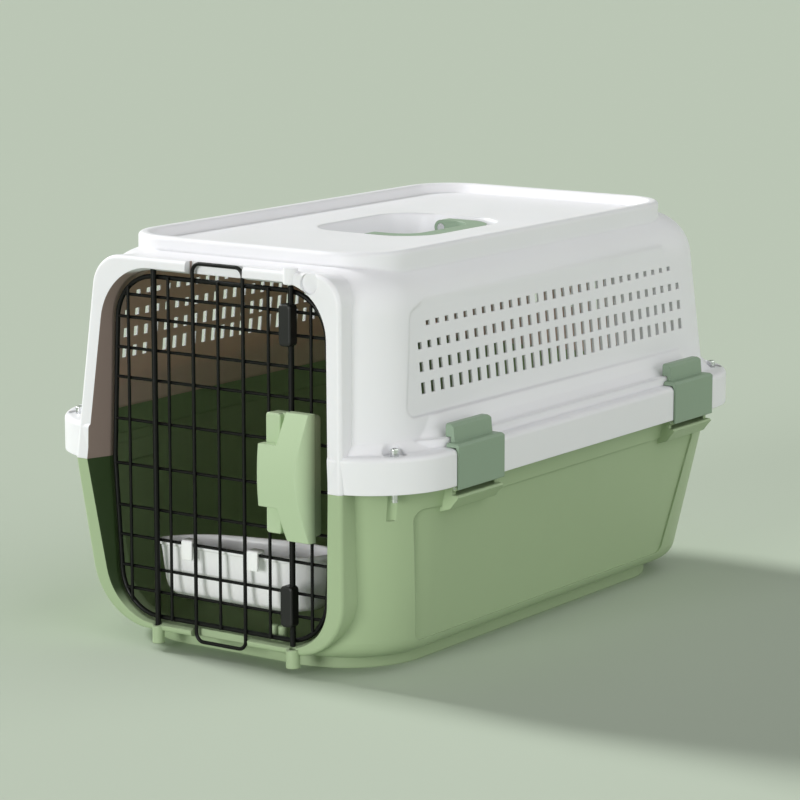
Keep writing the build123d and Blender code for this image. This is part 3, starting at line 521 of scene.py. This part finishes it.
def plastic_colour(tree, colour, painted_shade):
    """Slightly drifting colour, with painted shade on the inner faces and darker painted shade on the
    door's reveal, where it is given.
    """
    paler = tuple(min(1.0, c * (1 + colour_drift)) for c in colour)
    darker = tuple(c * (1 - colour_drift) for c in colour)
    result = mix_colours(tree, darker, paler, add_noise(tree, colour_patches).outputs["Fac"])
    if painted_shade:
        # Painted shade on the inner faces, and darker painted shade on the door's reveal
        inside, inside_shade_colour, reveal_shade_colour = painted_shade
        y = shell_place(tree)[1]
        inner = mix_colours(tree, inside_shade_colour, reveal_shade_colour, ramp(tree, y, *reveal_span))
        result = mix_colours(tree, result, inner, inside(tree))
    return result


def plastic_normal(tree, edge_radius):
    """Rounded edges under a fine spark-eroded grain and soft flow marks."""
    edge = add_node(tree, "ShaderNodeBevel")
    edge.samples = edge_samples
    if callable(edge_radius):
        tree.links.new(edge_radius(tree), edge.inputs["Radius"])
    else:
        edge.inputs["Radius"].default_value = edge_radius
    grain_noise = add_noise(tree, grain_scale, detail=2.0)
    grain = add_bump(tree, grain_noise, grain_strength, grain_depth, edge.outputs["Normal"])
    flow_noise = add_noise(tree, flow_scale, detail=1.0)
    return add_bump(tree, flow_noise, flow_strength, flow_depth, grain)


def plastic(name, colour, roughness, subsurface=0.0, edge_radius=plain_edge, painted_shade=None):
    """Moulded plastic. The edge radius is a number, or a function that makes it vary.

    painted_shade is a mask of the inner faces, the shade painted on them and that on the door's reveal.
    """
    material, tree, shader = new_material(name)
    shader.inputs["Specular IOR Level"].default_value = plastic_specular
    if subsurface:
        shader.inputs["Subsurface Weight"].default_value = subsurface
        shader.inputs["Subsurface Radius"].default_value = skin_radius
        shader.inputs["Subsurface Scale"].default_value = skin_scale
    tree.links.new(plastic_colour(tree, colour, painted_shade), shader.inputs["Base Color"])
    polish = add_noise(tree, polish_patches).outputs["Fac"]
    polished = add_range(tree, polish, roughness - polish_spread, roughness + polish_spread)
    tree.links.new(polished, shader.inputs["Roughness"])
    tree.links.new(plastic_normal(tree, edge_radius), shader.inputs["Normal"])
    return material


def plated_steel():
    """Plated steel with fine turning marks."""
    material, tree, shader = new_material("plated_steel")
    shader.inputs["Metallic"].default_value = 1.0
    shader.inputs["Base Color"].default_value = (*steel_colour, 1)
    marks = add_noise(tree, steel_marks)
    roughness = add_range(
        tree, marks.outputs["Fac"], steel_roughness - steel_smoother, steel_roughness + steel_rougher
    )
    tree.links.new(roughness, shader.inputs["Roughness"])
    turned = add_bump(tree, marks, steel_mark_strength, steel_mark_depth)
    tree.links.new(turned, shader.inputs["Normal"])
    return material


def coated_wire():
    """Black dip coating on wire, with slight runs and satin gloss."""
    material, tree, shader = new_material("coated_wire")
    shader.inputs["Base Color"].default_value = (*wire_colour, 1)
    shader.inputs["Specular IOR Level"].default_value = wire_specular
    runs = add_noise(tree, wire_runs)
    tree.links.new(add_range(tree, runs.outputs["Fac"], *wire_roughness), shader.inputs["Roughness"])
    run_marks = add_bump(tree, runs, wire_run_strength, wire_run_depth)
    tree.links.new(run_marks, shader.inputs["Normal"])
    return material


def dress(material, nodes):
    """Gives some of the frame's nodes a material."""
    for name in nodes:
        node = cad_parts[name]
        node.data.materials.clear()
        node.data.materials.append(material)


def new_piece(name, mesh, material):
    """Adds a mesh of the scene's own, in one material."""
    mesh.materials.clear()
    mesh.materials.append(material)
    piece = bpy.data.objects.new(name, mesh)
    bpy.context.scene.collection.objects.link(piece)
    return piece


def fade_side_panels(shell, material):
    """Top shell whose recessed side panels fade out towards the rear, over the last vents."""
    mesh = shell.data.copy()
    for vertex in mesh.vertices:
        x, y, z = vertex.co * per_metre
        wall_x = panel_wall_half - panel_wall_lean * (z - panel_wall_height)
        if not (panel_low < z < panel_high and panel_front < y < panel_rear):
            continue
        if abs(wall_x - panel_depth - abs(x)) > panel_slack:
            continue
        share = min(max((y - panel_fade_start) / (panel_fade_end - panel_fade_start), 0.0), 1.0)
        out = panel_depth * share * share * (3 - 2 * share)
        vertex.co.x += math.copysign(out / per_metre, x)
    piece = new_piece("top_shell_moulding", mesh, material)
    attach(piece, "carrier")
    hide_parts("top_shell")


def closed_curve(points, steps):
    """Smooth closed curve through points, with some steps between each two."""
    curve = []
    count = len(points)
    for index in range(count):
        around = [points[(index + shift) % count] for shift in (-1, 0, 1, 2)]
        for step in range(steps):
            t = step / steps
            weights = (
                -0.5 * t + t * t - 0.5 * t**3,
                1 - 2.5 * t * t + 1.5 * t**3,
                0.5 * t + 2 * t * t - 1.5 * t**3,
                -0.5 * t * t + 0.5 * t**3,
            )
            weighted = list(zip(weights, around))
            curve.append(tuple(sum(weight * point[axis] for weight, point in weighted) for axis in (0, 1)))
    return curve


def new_vertex(build, x, y, z):
    """Vertex of a build at a place in millimetres."""
    return build.verts.new((x / per_metre, y / per_metre, z / per_metre))


def skin_rings(build, rings):
    """Faces between each ring of vertices and the next, and one over either end."""
    count = len(rings[0])
    for lower, upper in zip(rings, rings[1:]):
        for index in range(count):
            after = (index + 1) % count
            build.faces.new((lower[index], lower[after], upper[after], upper[index]))
    build.faces.new(list(reversed(rings[0])))
    build.faces.new(rings[-1])


def smooth_mesh(build, name):
    """Mesh of a build, shaded smooth."""
    mesh = bpy.data.meshes.new(name)
    build.to_mesh(mesh)
    build.free()
    for polygon in mesh.polygons:
        polygon.use_smooth = True
    return mesh


def add_hook(build, hook_x):
    """One hook of the bowl, cut from its side profile, with rounded edges."""
    left, right = [
        [new_vertex(build, hook_x + side * bowl_hook_half, y, z) for y, z in bowl_hook_profile]
        for side in (-1, 1)
    ]
    faces = [build.faces.new(left), build.faces.new(list(reversed(right)))]
    count = len(bowl_hook_profile)
    for index in range(count):
        after = (index + 1) % count
        faces.append(build.faces.new((left[after], left[index], right[index], right[after])))
    edges = list({edge for face in faces for edge in face.edges})
    bmesh.ops.bevel(
        build,
        geom=edges,
        offset=bowl_hook_round / per_metre,
        segments=bowl_hook_segments,
        affect="EDGES",
        profile=0.5,
    )


def add_bowl(material):
    """Hanging bowl: straight along the door, round behind, with a lip, a rounded floor and hooks."""
    outline = closed_curve(bowl_outline, bowl_outline_steps)
    middle = [sum(point[axis] for point in outline) / len(outline) for axis in (0, 1)]
    half = [max(abs(point[axis] - middle[axis]) for point in outline) for axis in (0, 1)]
    build = bmesh.new()
    rings = []
    for inset, z in bowl_profile:
        ring = []
        for point in outline:
            x, y = [
                middle[axis] + (point[axis] - middle[axis]) * (1 - inset / half[axis]) for axis in (0, 1)
            ]
            ring.append(new_vertex(build, x, y, z))
        rings.append(ring)
    skin_rings(build, rings)
    for hook_x in bowl_hooks:
        add_hook(build, hook_x)
    bmesh.ops.recalc_face_normals(build, faces=build.faces)
    piece = new_piece("hanging_bowl", smooth_mesh(build, "hanging_bowl"), material)
    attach(piece, "bowl")
    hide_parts("food_bowl")


def add_door_stops(material):
    """Two short rounded pegs on the sill, on which the door comes to rest."""
    turns = [2 * math.pi * index / door_stop_sides for index in range(door_stop_sides)]
    build = bmesh.new()
    for stop_x, stop_y in door_stops:
        rings = []
        for radius, z in door_stop_profile:
            rings.append([
                new_vertex(build, stop_x + radius * math.cos(turn), stop_y + radius * math.sin(turn), z)
                for turn in turns
            ])
        skin_rings(build, rings)
    piece = new_piece("door_stops", smooth_mesh(build, "door_stops"), material)
    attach(piece, "carrier")


def dress_shells():
    """White top shell with its faded panels, and sage base shell with its door stops."""
    white_plastic = plastic(
        "white_plastic",
        white_colour,
        shell_roughness,
        subsurface=pale_subsurface,
        edge_radius=soft_moulding,
        # Painted shade inside the top shell and on the door's reveal
        painted_shade=(inside_top, white_inside_shade, white_reveal_shade),
    )
    dress(white_plastic, ["top_shell"])
    fade_side_panels(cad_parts["top_shell"], white_plastic)
    green_plastic = plastic(
        "green_plastic",
        green_colour,
        shell_roughness,
        edge_radius=base_edge,
        # Painted shade inside the base shell and on the door's reveal
        painted_shade=(inside_base, green_inside_shade, green_reveal_shade),
    )
    dress(green_plastic, ["base_shell"])
    add_door_stops(plastic("stop_plastic", green_colour, shell_roughness, edge_radius=stop_edge))


def dress_small_plastic():
    """Clips and handle, latch, rod guides, and the bowl."""
    clip_plastic = plastic("clip_plastic", clip_colour, small_part_roughness, edge_radius=clip_edge)
    dress(clip_plastic, ["clip_front_left", "clip_front_right", "clip_rear_left", "clip_rear_right"])
    dress(clip_plastic, ["carry_handle"])
    latch_plastic = plastic("latch_plastic", latch_colour, small_part_roughness, edge_radius=latch_edge)
    dress(latch_plastic, ["latch_body", "latch_slider"])
    guide_plastic = plastic("guide_plastic", guide_colour, small_part_roughness)
    dress(guide_plastic, ["latch_guide_upper", "latch_guide_lower"])
    bowl_plastic = plastic("bowl_plastic", bowl_colour, bowl_roughness, subsurface=pale_subsurface)
    dress(bowl_plastic, ["food_bowl"])
    add_bowl(bowl_plastic)


def dress_metal():
    """Coated wire of the door and its rods, and plated pins, bolts and nuts."""
    dress(coated_wire(), ["door_grille", "hinge_rod", "upper_latch_rod", "lower_latch_rod"])
    steel = plated_steel()
    dress(steel, ["handle_pin_front", "handle_pin_rear", "clip_pins", "corner_bolts", "corner_nuts"])


add_camera()
add_lamps()
add_sky()
add_floor()
bpy.context.scene.view_settings.view_transform = "Standard"
dress_shells()
dress_small_plastic()
dress_metal()
